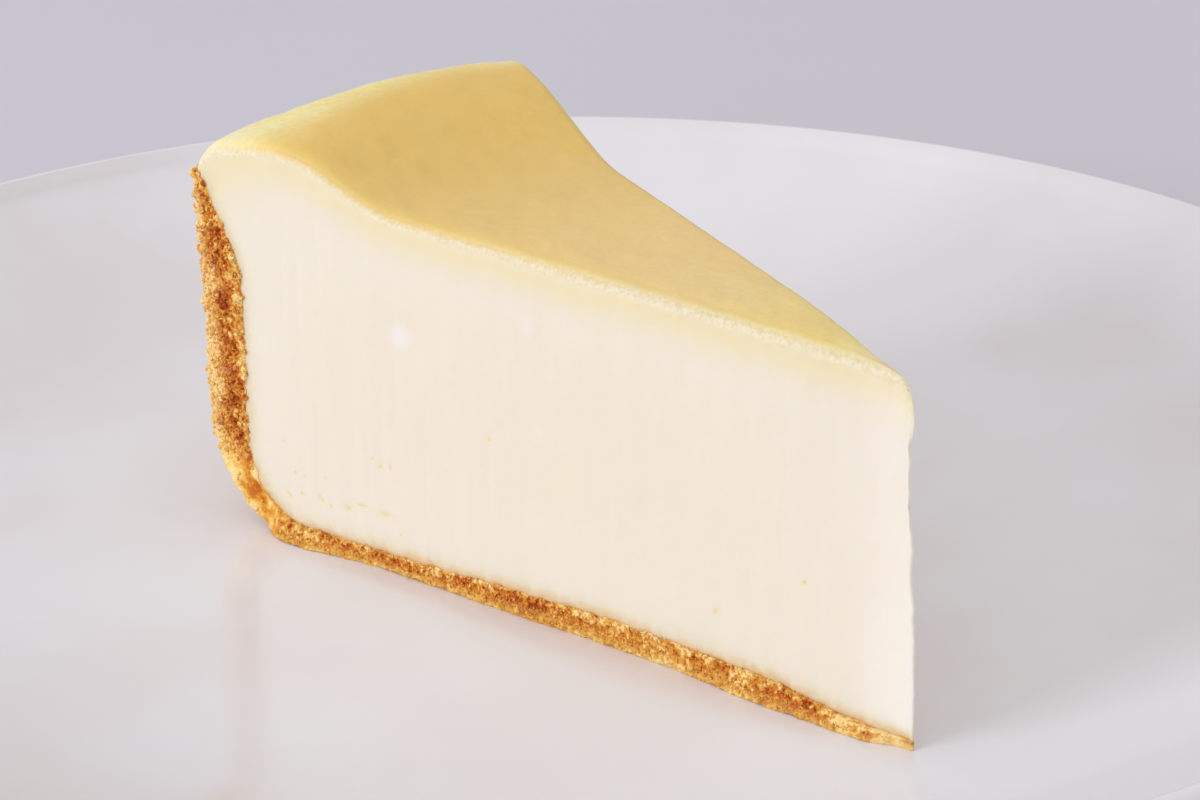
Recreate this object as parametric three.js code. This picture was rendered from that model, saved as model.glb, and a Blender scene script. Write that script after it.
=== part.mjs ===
// A slice of baked cheesecake, a fourteenth of a 9 inch cake, standing on a white coupe plate.
// Millimetres, +Z up. The origin is the middle of the plate's foot, on the table, and the slice's
// centreline runs along X with its tip towards +X.
import * as THREE from "three";
import { mergeVertices } from "three/addons/utils/BufferGeometryUtils.js";

// The cake that the slice was cut from
const SLICES_IN_CAKE = 14;
const HALF_ANGLE = Math.PI / SLICES_IN_CAKE;
const TIP = { x: 81.75, y: -8.72 }; // where the two cuts would meet
const TIP_ROUND = 0.6; // a knife leaves the point blunt
const TIP_ROUND_FADE = 6;
const TIP_SET_BACK = { top: 2.8, at: 48, power: 0.7 }; // the point leans back above its foot
const SEAT_GAP = 0.2; // between the crust and the plate
const LAYER_GAP = 0.3; // between the crust and the filling

// Crumb crust: a base and a side wall in one piece, round at the pan's corner
const BASE_THICK = 2.2;
const BASE_SWELL = { thick: 1.75, at: 42, reach: 26 };
const TIP_THINNING = { thick: 1.6, reach: 10 };
const WALL_RADIUS = 113.1;
const WALL_FLARE = 1.2;
const WALL_THICK = 6.8;
const WALL_LIP_THICK = 1.1;
const WALL_TAPER = { from: 32, power: 1.75 };
const WALL_TOP = 49.4;
const PAN_CORNER = 13;
const INNER_CORNER = 9.5;
const CRUMB = { cell: 3.1, onCut: 0.4, onWall: 0.6, seam: 0.3, seamCell: 5 };
const BACK_HALF_WIDTH = 25; // half the slice's width at its back
// Crumbs pushed out past the cuts at the crust's foot
const SPREAD = { all: 0.4, front: 1.2, at: 18, reach: 11, back: 1.9, from: 86, to: 98, height: 4.5 };

// Filling: nearly flat, raised round the rim, with a round shoulder over the crust. Its top sinks
// a little towards the far cut and falls away at the tip.
const FILLING = { level: 47.3, slope: 0.034 };
const RIM_RISE = { height: 4.5, from: 78.2, to: 98 };
const RIM_HUMP = { middle: 1.5, far: 2.3, later: 8.6 };
const SHOULDER = { from: 105.5, to: 112.9 };
const FAR_SINK = { height: 1.15, tip: 1.8, reach: 12 };
const TIP_FALL = { height: 0.9, reach: 6 };
const TIP_CORNER = { height: 3.3, reach: 0.75 };

// Plate
const PLATE_RADIUS = 132;
const PLATE_HEIGHT = 25;
const WELL_LEVEL = 7.0;
const WELL_RADIUS = 84;
const COUPE_POWER = 1.7; // how late the well turns up to the rim
const CENTRE_THICK = 4.4;
const RIM_THICK = 3.4;
const FOOT = { radius: 76, width: 3.2, height: 2.6, bevel: 0.6 };

// Steps of the faceted solids
const CRUST_STEPS = { along: 66, through: 3, round: 14 };
const FILLING_STEPS = { along: 32, up: 9, round: 14 };
const PLATE_STEPS = { round: 64, coupe: 9, lip: 4, under: 7 };

const mix = (a, b, share) => a + (b - a) * share;
const clamp01 = (share) => Math.min(1, Math.max(0, share));
const smooth = (share) => clamp01(share) ** 2 * (3 - 2 * clamp01(share));
const bell = (value, middle, reach) => Math.exp(-(((value - middle) / reach) ** 2));

// A fixed number from -1 to 1 for each corner of a cubic grid.
function grain(x, y, z) {
  const mixed = Math.sin(x * 127.1 + y * 311.7 + z * 74.7) * 43758.5453;
  return (mixed - Math.floor(mixed)) * 2 - 1;
}

// Smooth lumps about one cell across, from -1 to 1: the grid's numbers blended between its corners.
function lumps(x, y, z, cell) {
  const [gx, gy, gz] = [x / cell, y / cell, z / cell];
  const [ix, iy, iz] = [gx, gy, gz].map(Math.floor);
  const [fx, fy, fz] = [smooth(gx - ix), smooth(gy - iy), smooth(gz - iz)];
  let sum = 0;
  for (const [dx, dy, dz] of [0, 1, 2, 3, 4, 5, 6, 7].map((n) => [n & 1, (n >> 1) & 1, n >> 2]))
    sum +=
      grain(ix + dx, iy + dy, iz + dz) *
      (dx ? fx : 1 - fx) *
      (dy ? fy : 1 - fy) *
      (dz ? fz : 1 - fz);
  return sum;
}

// A closed box of quads, (along, up, round) each from 0 to 1, with every corner put where place says.
function blockGeometry(steps, place) {
  const [na, nu, nr] = steps;
  const points = [];
  const index = new Map();
  const vertex = (a, u, r) => {
    const key = `${a},${u},${r}`;
    if (!index.has(key)) {
      index.set(key, points.length / 3);
      points.push(...place(a / na, u / nu, r / nr));
    }
    return index.get(key);
  };
  const faces = [];
  const sheet = (n, m, at, flip) => {
    for (let i = 0; i < n; i++)
      for (let j = 0; j < m; j++) {
        const quad = [at(i, j), at(i + 1, j), at(i + 1, j + 1), at(i, j + 1)];
        if (flip) quad.reverse();
        faces.push(quad[0], quad[1], quad[2], quad[0], quad[2], quad[3]);
      }
  };
  for (const end of [0, 1]) {
    sheet(na, nu, (i, j) => vertex(i, j, end * nr), end === 0);
    sheet(nu, nr, (i, j) => vertex(end * na, i, j), end === 0);
    sheet(nr, na, (i, j) => vertex(j, end * nu, i), end === 0);
  }
  const geometry = new THREE.BufferGeometry();
  geometry.setAttribute("position", new THREE.Float32BufferAttribute(points, 3));
  geometry.setIndex(faces);
  geometry.computeVertexNormals();
  return geometry;
}

// Plan position of a point r from the tip; across runs from -1, the near cut, to 1, the far cut.
function inPlan(r, across) {
  const angle = across * HALF_ANGLE;
  const turn = across * (Math.PI / 2 - HALF_ANGLE);
  const bulge = TIP_ROUND * Math.cos(turn) * Math.exp(-r / TIP_ROUND_FADE);
  return [
    TIP.x - r * Math.cos(angle) + bulge,
    TIP.y + r * Math.sin(angle) + TIP_ROUND * Math.sin(turn),
  ];
}

// The crust's section, as r from the tip and z above the plate
const setBack = (z) => TIP_SET_BACK.top * clamp01(z / TIP_SET_BACK.at) ** TIP_SET_BACK.power;
const wallOuter = (z) =>
  WALL_RADIUS + WALL_FLARE * clamp01((z - PAN_CORNER) / (WALL_TOP - PAN_CORNER)) ** 2;

function baseTop(r) {
  const swell = BASE_SWELL.thick * bell(r, BASE_SWELL.at, BASE_SWELL.reach);
  return BASE_THICK + swell - TIP_THINNING.thick * bell(r, 0, TIP_THINNING.reach);
}

function wallInner(z) {
  const taper = clamp01((z - WALL_TAPER.from) / (WALL_TOP - WALL_TAPER.from)) ** WALL_TAPER.power;
  return wallOuter(z) - mix(WALL_THICK, WALL_LIP_THICK, taper);
}

const INNER_CENTRE = {
  r: WALL_RADIUS - WALL_THICK - INNER_CORNER,
  z: baseTop(WALL_RADIUS - WALL_THICK - INNER_CORNER) + INNER_CORNER,
};

// The crust's face against the filling, grown by gap: its base, its corner and its wall, each over 0 to 1.
const innerBase = (share, gap) => {
  const r = mix(setBack(baseTop(0)), INNER_CENTRE.r, share);
  return [r, baseTop(r) + gap];
};
const innerCorner = (share, gap) => {
  const turn = (share * Math.PI) / 2;
  const radius = INNER_CORNER - gap;
  return [
    INNER_CENTRE.r + radius * Math.sin(turn),
    INNER_CENTRE.z - radius * Math.cos(turn),
  ];
};
const innerWall = (share, gap) => {
  const z = mix(INNER_CENTRE.z, WALL_TOP, share);
  return [wallInner(z) - gap, z];
};
const outerBase = (share) => [mix(0, WALL_RADIUS - PAN_CORNER, share), 0];
const outerCorner = (share) => {
  const turn = (share * Math.PI) / 2;
  return [
    WALL_RADIUS - PAN_CORNER + PAN_CORNER * Math.sin(turn),
    PAN_CORNER * (1 - Math.cos(turn)),
  ];
};
const outerWall = (share) => {
  const z = mix(PAN_CORNER, WALL_TOP, share);
  return [wallOuter(z), z];
};

// Joins base, corner and wall into one path over 0 to 1, with the turns at the same shares on both faces.
const TURNS = [0.6, 0.72];
function alongPath(share, base, corner, wall) {
  if (share < TURNS[0]) return base(share / TURNS[0]);
  if (share < TURNS[1]) return corner((share - TURNS[0]) / (TURNS[1] - TURNS[0]));
  return wall((share - TURNS[1]) / (1 - TURNS[1]));
}

// How far the crust's foot stands out past the cuts
function spread(r, z) {
  const front = SPREAD.front * bell(r, SPREAD.at, SPREAD.reach);
  const back = SPREAD.back * smooth((r - SPREAD.from) / (SPREAD.to - SPREAD.from));
  return (SPREAD.all * smooth(r / 6) + front + back) * (1 - clamp01(z / SPREAD.height)) ** 2;
}

// The face between crust and filling isn't even: both follow the same lumps.
const seamLift = (r, across) =>
  CRUMB.seam * lumps(r, across * BACK_HALF_WIDTH * (r / WALL_RADIUS), 0, CRUMB.seamCell);

function crustPoint(along, through, round) {
  const across = round * 2 - 1;
  const outer = alongPath(along, outerBase, outerCorner, outerWall);
  const inner = alongPath(
    along,
    (s) => innerBase(s, 0),
    (s) => innerCorner(s, 0),
    (s) => innerWall(s, 0),
  );
  let [r, z] = [mix(outer[0], inner[0], through), mix(outer[1], inner[1], through)];
  const onWall = smooth((along - TURNS[0]) / (TURNS[1] - TURNS[0]));
  const sideways = across * BACK_HALF_WIDTH;
  z += through * (1 - onWall) * seamLift(r, across);
  r += CRUMB.onWall * (1 - through) * onWall * lumps(z, sideways, 0, CRUMB.cell);
  if (along === 1) z += CRUMB.onWall * Math.min(0, lumps(sideways, through * WALL_THICK, 0, CRUMB.cell));
  let [x, y] = inPlan(r, across);
  if (Math.abs(across) === 1) {
    const crumbs = CRUMB.onCut * lumps(r, z, sideways, CRUMB.cell) * smooth(r / 6);
    const relief = crumbs + spread(r, z);
    y += across * relief * Math.cos(HALF_ANGLE);
    x += relief * Math.sin(HALF_ANGLE);
  }
  return [x, y, z];
}

// The filling's top, as a height above the plate: r from the tip, across from -1 to 1.
function topLevel(r, across) {
  const far = (across + 1) / 2;
  const span = RIM_RISE.to + RIM_HUMP.later * far - RIM_RISE.from;
  const rise = smooth((r - RIM_RISE.from) / span);
  const hump = RIM_HUMP.middle * (1 - across ** 2) + RIM_HUMP.far * far;
  const behind = r - TIP_SET_BACK.top;
  const fall =
    TIP_FALL.height * Math.exp(-behind / TIP_FALL.reach) +
    TIP_CORNER.height * Math.exp(-behind / TIP_CORNER.reach) +
    far * (FAR_SINK.height + FAR_SINK.tip * Math.exp(-r / FAR_SINK.reach));
  return FILLING.level + FILLING.slope * r + rise * (RIM_RISE.height + hump) - fall;
}

// Top of the filling from the tip to the shoulder, then down the shoulder to the crust's lip.
const SHOULDER_TURN = 0.84;
const TIP_CROWDING = 1.5; // the steps along the slice are closer near its tip
function fillingTop(share, across) {
  const ridge = topLevel(SHOULDER.from, across);
  if (share < SHOULDER_TURN) {
    const r = mix(TIP_SET_BACK.top, SHOULDER.from, (share / SHOULDER_TURN) ** TIP_CROWDING);
    return [r, topLevel(r, across)];
  }
  const turn = (((share - SHOULDER_TURN) / (1 - SHOULDER_TURN)) * Math.PI) / 2;
  const lip = WALL_TOP + LAYER_GAP + 0.2;
  return [
    mix(SHOULDER.from, SHOULDER.to, Math.sin(turn)),
    lip + (ridge - lip) * Math.cos(turn),
  ];
}

const fillingBottom = (share) =>
  share < SHOULDER_TURN
    ? innerBase((share / SHOULDER_TURN) ** TIP_CROWDING, LAYER_GAP)
    : innerCorner((share - SHOULDER_TURN) / (1 - SHOULDER_TURN), LAYER_GAP);

// The filling's face against the crust's wall, and the ledge that it makes over the crust's lip.
const LEDGE_TURN = 0.9;
const LEDGE_FROM = 0.995;
function fillingSide(share, across) {
  if (share < LEDGE_TURN) return innerWall((share / LEDGE_TURN) * LEDGE_FROM, LAYER_GAP);
  const from = innerWall(LEDGE_FROM, LAYER_GAP);
  const to = fillingTop(1, across);
  const ledge = (share - LEDGE_TURN) / (1 - LEDGE_TURN);
  return [mix(from[0], to[0], ledge), mix(from[1], to[1], ledge ** 0.4)];
}

// The filling's section is a patch between its four edges: blended both ways, less the corners.
function fillingPoint(along, up, round) {
  const across = round * 2 - 1;
  const [low, high] = [fillingBottom(along), fillingTop(along, across)];
  const side = fillingSide(up, across);
  const [lowTip, highTip] = [fillingBottom(0), fillingTop(0, across)];
  const [lowSide, highSide] = [fillingSide(0, across), fillingSide(1, across)];
  const tipZ = mix(lowTip[1], highTip[1], up);
  const tip = [setBack(tipZ), tipZ];
  const section = [0, 1].map(
    (c) =>
      mix(low[c], high[c], up) +
      mix(tip[c], side[c], along) -
      mix(mix(lowTip[c], highTip[c], up), mix(lowSide[c], highSide[c], up), along),
  );
  const [r, z] = section;
  const onBase = (1 - up) * (1 - smooth((along - SHOULDER_TURN) / (1 - SHOULDER_TURN)));
  return [...inPlan(r, across), z + onBase * seamLift(r, across)];
}

// Moves a shape made above the plate's well onto the plate.
const onPlate = (place) => (a, b, c) => {
  const [x, y, z] = place(a, b, c);
  return [x, y, z + WELL_LEVEL + SEAT_GAP];
};

// The plate's upper face: a flat well that turns up to the rim along a power curve.
const plateTop = (radius) =>
  WELL_LEVEL +
  (PLATE_HEIGHT - WELL_LEVEL) *
    clamp01((radius - WELL_RADIUS) / (PLATE_RADIUS - WELL_RADIUS)) ** COUPE_POWER;

const plateThick = (radius) => mix(CENTRE_THICK, RIM_THICK, smooth(radius / PLATE_RADIUS));

function plateGeometry() {
  const lipRadius = RIM_THICK / 2;
  const lipCentre = [PLATE_RADIUS - lipRadius, PLATE_HEIGHT - lipRadius];
  const lipFrom = Math.PI * 0.6;
  const points = [[0, WELL_LEVEL], [WELL_RADIUS / 2, WELL_LEVEL]];
  for (let i = 0; i < PLATE_STEPS.coupe; i++) {
    const radius = mix(WELL_RADIUS, PLATE_RADIUS - RIM_THICK, i / (PLATE_STEPS.coupe - 1));
    points.push([radius, plateTop(radius)]);
  }
  for (let i = 0; i <= PLATE_STEPS.lip; i++) {
    const turn = mix(lipFrom, -Math.PI * 0.35, i / PLATE_STEPS.lip);
    points.push([
      lipCentre[0] + lipRadius * Math.cos(turn),
      lipCentre[1] + lipRadius * Math.sin(turn),
    ]);
  }
  for (let i = 1; i <= PLATE_STEPS.under; i++) {
    const radius = mix(PLATE_RADIUS - RIM_THICK, FOOT.radius, i / PLATE_STEPS.under);
    points.push([radius, plateTop(radius) - plateThick(radius)]);
  }
  const inner = FOOT.radius - FOOT.width;
  points.push([FOOT.radius - FOOT.bevel / 2, FOOT.bevel], [FOOT.radius - FOOT.bevel, 0]);
  points.push([inner + FOOT.bevel, 0], [inner + FOOT.bevel / 2, FOOT.bevel]);
  points.push([inner, FOOT.height], [inner / 2, FOOT.height], [0, FOOT.height]);
  const profile = points.reverse().map(([radius, z]) => new THREE.Vector2(radius, z));
  const lathe = new THREE.LatheGeometry(profile, PLATE_STEPS.round);
  lathe.rotateX(Math.PI / 2);
  lathe.deleteAttribute("uv");
  lathe.deleteAttribute("normal");
  const merged = mergeVertices(lathe, 1e-3);
  merged.computeVertexNormals();
  return merged;
}

const material = (color, roughness) =>
  new THREE.MeshStandardMaterial({ color, roughness, metalness: 0 });

function namedMesh(name, geometry, finish) {
  const mesh = new THREE.Mesh(geometry, finish);
  mesh.name = name;
  return mesh;
}

const crustSteps = [CRUST_STEPS.along, CRUST_STEPS.through, CRUST_STEPS.round];
const fillingSteps = [FILLING_STEPS.along, FILLING_STEPS.up, FILLING_STEPS.round];

const dessert = new THREE.Group();
dessert.add(
  namedMesh("plate", plateGeometry(), material(0xf2f0ee, 0.12)),
  namedMesh("crust", blockGeometry(crustSteps, onPlate(crustPoint)), material(0xc8862f, 0.9)),
  namedMesh("filling", blockGeometry(fillingSteps, onPlate(fillingPoint)), material(0xf4e8d4, 0.55)),
);

export default dessert;
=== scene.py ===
import bpy
import numpy as np
from mathutils import Matrix, Vector


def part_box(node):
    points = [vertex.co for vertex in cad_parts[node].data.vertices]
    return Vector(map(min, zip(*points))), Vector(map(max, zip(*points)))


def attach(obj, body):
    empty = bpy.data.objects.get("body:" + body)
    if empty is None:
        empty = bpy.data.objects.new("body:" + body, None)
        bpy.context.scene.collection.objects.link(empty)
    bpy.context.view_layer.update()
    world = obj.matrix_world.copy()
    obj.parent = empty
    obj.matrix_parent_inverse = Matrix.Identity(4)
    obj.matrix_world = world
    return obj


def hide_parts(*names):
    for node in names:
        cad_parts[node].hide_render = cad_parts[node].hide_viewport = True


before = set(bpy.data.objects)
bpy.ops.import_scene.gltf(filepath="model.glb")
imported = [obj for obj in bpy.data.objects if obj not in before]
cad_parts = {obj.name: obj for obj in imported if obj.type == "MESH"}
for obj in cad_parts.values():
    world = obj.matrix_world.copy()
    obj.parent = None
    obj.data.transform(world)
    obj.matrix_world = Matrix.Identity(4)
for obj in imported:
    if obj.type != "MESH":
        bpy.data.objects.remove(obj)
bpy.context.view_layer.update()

# The plate: one piece of white porcelain, turned and pressed, with a flat well that turns up to a
# rounded rim. It stands on a ring under the well. Clear glossy glaze covers it, all but the face of
# that ring, which is left bare for firing. It carries the slice.
MM = 0.001
PLATE_RADIUS = 132.0
PLATE_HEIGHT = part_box("plate")[1].z / MM
WELL_LEVEL = 7.0
WELL_RADIUS = 84.0
COUPE_POWER = 1.7
CENTRE_THICK = 4.4
RIM_THICK = 3.4
FOOT_RADIUS = 76.0
FOOT_WIDTH = 3.2
FOOT_HEIGHT = 2.6
FOOT_BEVEL = 0.6
PLATE_ROUND_STEPS = 288
PORCELAIN = (237, 235, 234)
PORCELAIN_WARM = (234, 229, 227)
BARE_FOOT = (219, 212, 200)
GLAZE_ROUGHNESS = 0.13


def mix(a, b, share):
    """a at share 0, b at share 1, in a straight line between them."""
    return a + (b - a) * share


def smooth(share):
    """0 up to share 0, 1 from share 1, and between them the curve 3 s squared less 2 s cubed."""
    share = np.clip(share, 0, 1)
    return share * share * (3 - 2 * share)


def bell(value, middle, reach):
    """1 at the middle, falling to both sides as e to the minus square of the distance over the reach."""
    return np.exp(-(((value - middle) / reach) ** 2))


def surface(name, points, faces, marks, smooth_shaded=True):
    """A mesh object. points are in millimetres, faces is a list of arrays of corner numbers, and marks
    are named numbers, one for each point, that the material reads."""
    mesh = bpy.data.meshes.new(name)
    corners = np.concatenate([each.ravel() for each in faces])
    sizes = np.concatenate([np.full(len(each), each.shape[1]) for each in faces])
    mesh.vertices.add(len(points))
    mesh.vertices.foreach_set("co", (points * MM).ravel())
    mesh.loops.add(len(corners))
    mesh.loops.foreach_set("vertex_index", corners)
    mesh.polygons.add(len(sizes))
    mesh.polygons.foreach_set("loop_start", np.cumsum(sizes) - sizes)
    mesh.polygons.foreach_set("use_smooth", np.full(len(sizes), smooth_shaded))
    for mark, numbers in marks.items():
        layer = mesh.attributes.new(mark, "FLOAT", "POINT")
        layer.data.foreach_set("value", np.asarray(numbers, np.float32))
    mesh.update(calc_edges=True)
    piece = bpy.data.objects.new(name, mesh)
    bpy.context.scene.collection.objects.link(piece)
    return piece


def turned(radii, heights, steps):
    """A profile turned about Z. Its first and last points lie on the axis and close the shape with a fan
    each; every other point becomes a ring of the given number of steps. The profile runs from the
    underside's middle, outwards and round to the upper face's middle."""
    turn = np.arange(steps) / steps * 2 * np.pi
    rings = np.stack(
        [
            np.outer(radii[1:-1], np.cos(turn)),
            np.outer(radii[1:-1], np.sin(turn)),
            np.repeat(heights[1:-1, None], steps, axis=1),
        ],
        axis=-1,
    )
    points = np.concatenate([rings.reshape(-1, 3), [[0, 0, heights[0]], [0, 0, heights[-1]]]])
    number = np.arange(len(rings) * steps).reshape(len(rings), steps)
    after = np.roll(number, -1, axis=1)
    walls = np.stack([number[:-1], after[:-1], after[1:], number[1:]], axis=-1).reshape(-1, 4)
    under, over = number.size, number.size + 1
    low = np.stack([after[0], number[0], np.full(steps, under)], axis=-1)
    high = np.stack([number[-1], after[-1], np.full(steps, over)], axis=-1)
    return points, [walls, low, high]


def plate_top(radius):
    """Height of the upper face: the flat well, then up to the rim by a power of the way past the well."""
    past = np.clip((radius - WELL_RADIUS) / (PLATE_RADIUS - WELL_RADIUS), 0, 1)
    return WELL_LEVEL + (PLATE_HEIGHT - WELL_LEVEL) * past**COUPE_POWER


def plate_profile():
    """Radii and heights of the plate's section: recess, foot ring, underside, round lip, upper face."""
    inner = FOOT_RADIUS - FOOT_WIDTH
    lip = RIM_THICK / 2
    foot = np.array(
        [
            (inner - 1.2, FOOT_HEIGHT),
            (inner - 0.3, FOOT_HEIGHT - 0.3),
            (inner, FOOT_HEIGHT - 1.0),
            (inner + 0.1, FOOT_BEVEL),
            (inner + 0.25, 0.25),
            (inner + FOOT_BEVEL, 0),
            (FOOT_RADIUS - FOOT_BEVEL, 0),
            (FOOT_RADIUS - 0.25, 0.25),
            (FOOT_RADIUS - 0.1, FOOT_BEVEL),
        ]
    )
    under_radii = np.linspace(FOOT_RADIUS + 0.2, PLATE_RADIUS - RIM_THICK, 40)
    thick = mix(CENTRE_THICK, RIM_THICK, smooth(under_radii / PLATE_RADIUS))
    turn = np.linspace(-0.35 * np.pi, 0.6 * np.pi, 14)
    top_radii = np.linspace(PLATE_RADIUS - RIM_THICK, 0, 78)
    radii = [
        np.linspace(0, inner - 3, 6),
        foot[:, 0],
        under_radii,
        PLATE_RADIUS - lip + lip * np.cos(turn),
        top_radii,
    ]
    heights = [
        np.full(6, FOOT_HEIGHT),
        foot[:, 1],
        plate_top(under_radii) - thick,
        PLATE_HEIGHT - lip + lip * np.sin(turn),
        plate_top(top_radii),
    ]
    return np.concatenate(radii), np.concatenate(heights)


def paint(red, green, blue):
    """A colour as a screen shows it, 0 to 255, turned into the shader's linear numbers."""
    share = np.array([red, green, blue]) / 255
    linear = np.where(share <= 0.04045, share / 12.92, ((share + 0.055) / 1.055) ** 2.4)
    return (*linear, 1.0)


class Amount:
    """One number that changes over a surface: a node's output, with the usual sums on it."""

    def __init__(self, finish, socket):
        self.finish = finish
        self.socket = socket

    def worked(self, operation, *terms):
        return self.finish.node("ShaderNodeMath", {"operation": operation}, dict(enumerate(terms)))

    def __add__(self, other):
        return self.worked("ADD", self, other)

    def __sub__(self, other):
        return self.worked("SUBTRACT", self, other)

    def __rsub__(self, other):
        return self.worked("SUBTRACT", other, self)

    def __mul__(self, other):
        return self.worked("MULTIPLY", self, other)

    def __lt__(self, other):
        return self.worked("LESS_THAN", self, other)

    def between(self, low, high):
        """0 below low, 1 above high, and a smooth step from one to the other."""
        settings = {"interpolation_type": "SMOOTHSTEP"}
        values = {"Value": self, "From Min": low, "From Max": high}
        return self.finish.node("ShaderNodeMapRange", settings, values)

    __radd__ = __add__


class Finish:
    """A material being made: a Principled shader, and the nodes that feed it."""

    def __init__(self, name, **constants):
        self.material = bpy.data.materials.new(name)
        self.material.use_nodes = True
        self.nodes = self.material.node_tree.nodes
        self.links = self.material.node_tree.links
        self.shader = self.nodes["Principled BSDF"]
        self.place = self.node("ShaderNodeTexCoord", {}, {}, "Object")
        self.feed(self.shader, constants)

    def feed(self, node, values):
        """Sets or links a node's sockets, each by its name or number."""
        for key, value in values.items():
            socket = node.inputs[key.replace("_", " ") if isinstance(key, str) else key]
            if isinstance(value, Amount):
                self.links.new(value.socket, socket)
            else:
                socket.default_value = value

    def node(self, kind, settings, values, output=0):
        """Adds a node: its settings first, a ramp's stops among them, then its sockets."""
        node = self.nodes.new(kind)
        for key, value in settings.items():
            if key == "stops":
                while len(node.color_ramp.elements) < len(value):
                    node.color_ramp.elements.new(0.5)
                for element, (position, colour) in zip(node.color_ramp.elements, value):
                    element.position = position
                    element.color = colour
            else:
                setattr(node, key, value)
        self.feed(node, values)
        return Amount(self, node.outputs[output])

    def mark(self, name):
        """One of the numbers that the mesh carries at its points."""
        return self.node("ShaderNodeAttribute", {"attribute_name": name}, {}, "Fac")

    def noise(self, size, detail=2.0, place=None):
        """Cloudy noise, mostly from 0.3 to 0.7, with lumps about size millimetres across."""
        values = {"Vector": place or self.place, "Scale": 1 / (size * MM), "Detail": detail}
        return self.node("ShaderNodeTexNoise", {}, values, "Fac")

    def grains(self, size):
        """Cells about size millimetres across, each with a number of its own from 0 to 1."""
        cells = {"Vector": self.place, "Scale": 1 / (size * MM)}
        colour = self.node("ShaderNodeTexVoronoi", {}, cells, "Color")
        return self.node("ShaderNodeSeparateColor", {}, {0: colour}, "Green")

    def blended(self, share, a, b):
        """Colour a where the share is 0 and b where it is 1."""
        return self.node("ShaderNodeMix", {"data_type": "RGBA"}, {0: share, 6: a, 7: b}, 2)

    def ramp(self, share, stops):
        """Colours along a share from 0 to 1."""
        return self.node("ShaderNodeValToRGB", {"stops": stops}, {"Fac": share})

    def bumps(self, height, strength, depth, normal=None):
        """Fine relief: the height from 0 to 1 stands for depth millimetres."""
        values = {"Height": height, "Strength": strength, "Distance": depth * MM}
        if normal:
            values["Normal"] = normal
        return self.node("ShaderNodeBump", {}, values, 0)


def glaze_finish():
    """White porcelain under clear glaze: faint cloudiness, a slow waviness in the gloss, a bare foot."""
    glaze = Finish("porcelain_glaze", IOR=1.5)
    height = glaze.node("ShaderNodeSeparateXYZ", {}, {0: glaze.place}, 2)
    bare = height < 0.2 * MM
    cloud = glaze.noise(38, 3.0)
    body = glaze.blended(cloud.between(0.35, 0.65), paint(*PORCELAIN), paint(*PORCELAIN_WARM))
    roughness = (cloud * 0.04 + (GLAZE_ROUGHNESS - 0.02)) * (1 - bare) + bare * 0.85
    waves = glaze.bumps(glaze.noise(16, 1.0), 0.25, 0.06)
    glaze.feed(
        glaze.shader,
        {
            "Base Color": glaze.blended(bare, body, paint(*BARE_FOOT)),
            "Roughness": roughness,
            "Normal": glaze.bumps(glaze.noise(0.9, 1.0), 0.15, 0.01, waves),
        },
    )
    return glaze.material


def fitted(piece, material, slot, *nodes):
    """Gives a piece its material and its place on the one body, and lets it stand for its nodes."""
    piece.data.materials.append(material)
    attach(piece, "root")
    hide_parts(*nodes)


plate = surface("porcelain_plate", *turned(*plate_profile(), PLATE_ROUND_STEPS), {})
fitted(plate, glaze_finish(), "plate", "plate")


# The crust: biscuit crumbs and butter pressed into the cake's pan, as a thin base and a side wall in
# one piece, round where the pan's side meets its bottom. The knife has cut it with the cake, and
# it stands on the plate's well. Where it was cut it is open and crumbly, its inside edge darker.
SLICES_IN_CAKE = 14
HALF_ANGLE = np.pi / SLICES_IN_CAKE
TIP_X, TIP_Y = 81.75, -8.72
CUT_OFFSET = 0.585
TIP_FOOT = -0.58
TIP_LEAN = 0.05
TIP_LIP = 0.5
TIP_LIP_AT = 47.5
TIP_LIP_REACH = 4.0
TIP_WIDTH = 0.5
TIP_BULGE = 0.3
TIP_NARROWING_FADE = 24.0
BASE_THICK = 2.0
BASE_SWELL = 1.6
BASE_SWELL_AT = 42.0
BASE_SWELL_REACH = 28.0
TIP_THINNING = 1.1
TIP_THIN_TO = 4.0
TIP_THIN_FROM = 21.0
WALL_RADIUS = 113.1
WALL_FLARE = 1.5
WALL_THICK = 6.8
WALL_SWELL = 0.8
WALL_SWELL_AT = 37.0
WALL_SWELL_REACH = 5.0
WALL_LIP_THICK = 1.3
WALL_TAPER_FROM = 32.0
WALL_TAPER_POWER = 1.75
WALL_TOP = 49.4
PAN_CORNER = 14.4
INNER_CORNER = 10.5
SPREAD_HEIGHT = 4.5
SPREAD_ALONG = 0.4
SPREAD_HOLLOW_AT = 44.0
SPREAD_HOLLOW_REACH = 9.0
SPREAD_BY_TIP = 1.1
SPREAD_BY_CORNER = 1.9
SPREAD_CORNER_FROM = 83.0
SPREAD_CORNER_TO = 98.5
WAXY_FROM = 97.0
WAXY_UP_TO = 7.5
WALL_WAVE = 0.45
BASE_WAVE = 0.3
LIP_RAGGED = 0.8
SEAT_GAP = 0.2
CRUST_STEPS = (470, 20, 70)
CRUST_TURNS = (0.66, 0.78)


def lumps(points, cell, seed=0):
    """Smooth lumps about one cell across, from -1 to 1: a fixed number for each corner of a cubic grid,
    blended between the eight corners round each point by smooth steps."""
    place = points / cell
    corner = np.floor(place)
    share = smooth(place - corner)
    total = np.zeros(len(points))
    for offset in np.ndindex(2, 2, 2):
        weight = np.prod(np.where(offset, share, 1 - share), axis=1)
        number = np.sin((corner + offset) @ (127.1, 311.7, 74.7) + 17.3 * seed) * 43758.5453
        total += weight * (2 * (number - np.floor(number)) - 1)
    return total


def crumbly(points, cell, seed):
    """Round grains about a cell across with creases between them, from -1 in a crease to 0.6 on a grain."""
    return 0.6 - 1.6 * np.abs(lumps(points, cell, seed))


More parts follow.
